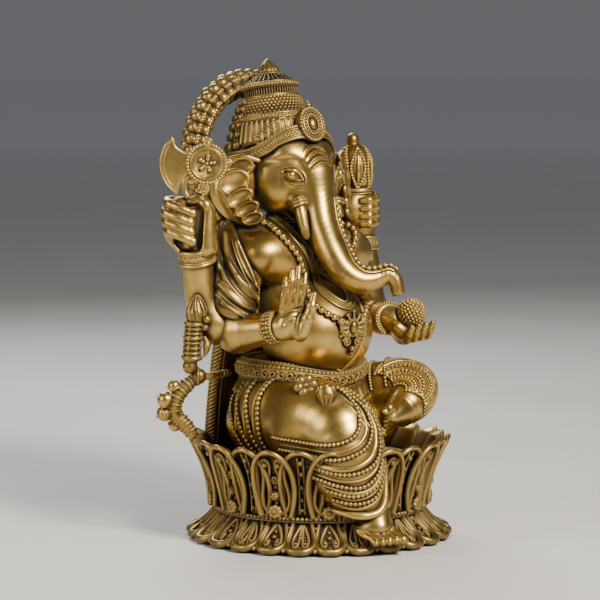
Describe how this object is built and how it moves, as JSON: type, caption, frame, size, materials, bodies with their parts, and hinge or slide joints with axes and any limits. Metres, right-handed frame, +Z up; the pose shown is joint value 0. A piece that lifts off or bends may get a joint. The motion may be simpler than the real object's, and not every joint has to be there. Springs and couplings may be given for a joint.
{
  "type": "seated elephant headed deity statue",
  "caption": "Seated four-armed elephant-headed figure with axe, lotus bud and sweet on a double lotus base, cast in antique brass.",
  "frame": {"origin": "centre of the base's underside, on the felt that the statue stands on", "axes": "+Z up; the figure faces -Y, so its right hand side is -X"},
  "size_m": [0.166, 0.1574, 0.273],
  "materials": {
    "cast_brass": "antique, burnished on the high places, dark patina in the recesses",
    "dark_brass": "dark patina",
    "steel": "zinc plated",
    "felt": "black felt"
  },
  "bodies": {
    "root": {"felt_pad": "felt", "base_plate": "dark_brass", "tie_bolt": "steel", "bolt_washer": "steel", "lower_lotus": "cast_brass", "lower_petals": "cast_brass", "waist_ring": "dark_brass", "upper_lotus": "cast_brass", "upper_petals": "cast_brass", "petal_rosettes": "cast_brass", "threaded_insert": "dark_brass", "hips": "cast_brass", "torso": "cast_brass", "right_leg": "cast_brass", "left_leg": "cast_brass", "right_foot": "cast_brass", "left_foot": "cast_brass", "figure_pins": "steel", "belt": "cast_brass", "belt_flowers": "cast_brass", "back_mantle": "cast_brass", "shawl": "cast_brass", "hair_locks": "dark_brass", "collar": "cast_brass", "necklace_beads": "cast_brass", "pendant": "cast_brass", "head": "cast_brass", "trunk": "cast_brass", "trunk_beads": "cast_brass", "right_tusk": "cast_brass", "left_tusk": "cast_brass", "right_ear": "cast_brass", "left_ear": "cast_brass", "crown_band": "cast_brass", "crown_tier": "cast_brass", "crown_lattice": "cast_brass", "crown_drum": "cast_brass", "crown_roof": "cast_brass", "crown_finial": "cast_brass", "crown_medallion": "cast_brass", "halo_garland": "cast_brass", "upper_right_arm": "cast_brass", "upper_right_hand": "cast_brass", "upper_right_bangle": "cast_brass", "axe_handle": "cast_brass", "axe_blade": "cast_brass", "axe_boss": "cast_brass", "lower_right_arm": "cast_brass", "lower_right_hand": "cast_brass", "lower_right_bangle": "cast_brass", "upper_left_arm": "cast_brass", "upper_left_hand": "cast_brass", "upper_left_bangle": "cast_brass", "lotus_mace": "cast_brass", "lower_left_arm": "cast_brass", "lower_left_hand": "cast_brass", "lower_left_bangle": "cast_brass", "sweet": "cast_brass", "side_garland": "cast_brass", "garland_bells": "cast_brass"}
  },
  "joints": []
}
